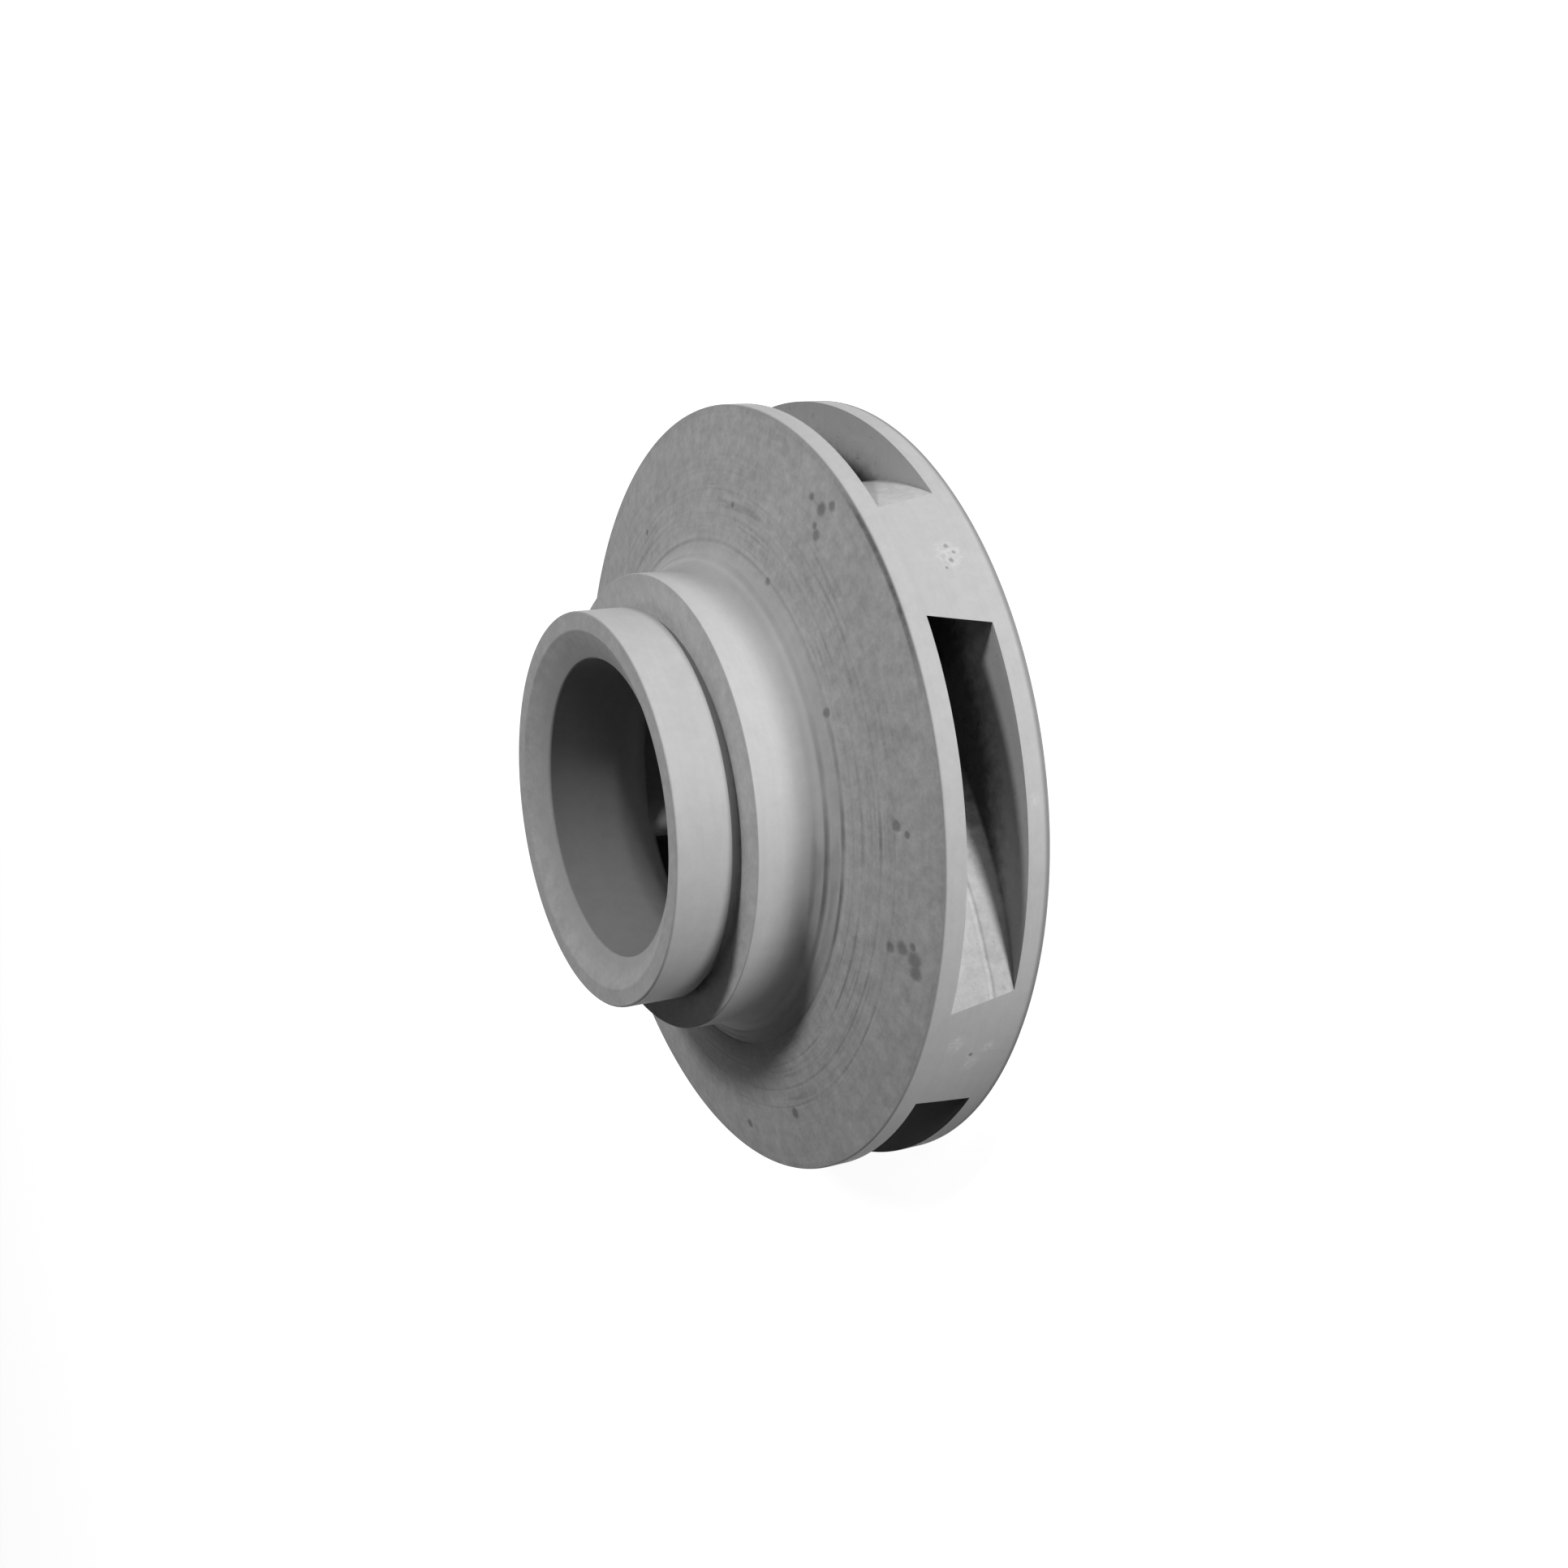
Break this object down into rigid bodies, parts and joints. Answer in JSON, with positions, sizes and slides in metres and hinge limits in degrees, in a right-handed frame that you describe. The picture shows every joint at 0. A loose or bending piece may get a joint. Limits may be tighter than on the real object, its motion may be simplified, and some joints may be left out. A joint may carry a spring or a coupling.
{
  "type": "pump impeller",
  "caption": "Closed centrifugal pump impeller: back plate, conical front shroud with stepped suction neck, backward-curved vanes between them and a keyed shaft bore.",
  "frame": {"origin": "middle of the flat back face, on the shaft axis", "axes": "+Z along the shaft axis, from the back face to the suction eye; the end of the first vane is centred on +X at the rim and the keyway is at +Y"},
  "size_m": [0.174, 0.174, 0.0616],
  "materials": {
    "casting": "fine-turned outside with faint tool rings, rough as-cast water passages"
  },
  "bodies": {
    "root": {"impeller": "casting"}
  },
  "joints": []
}
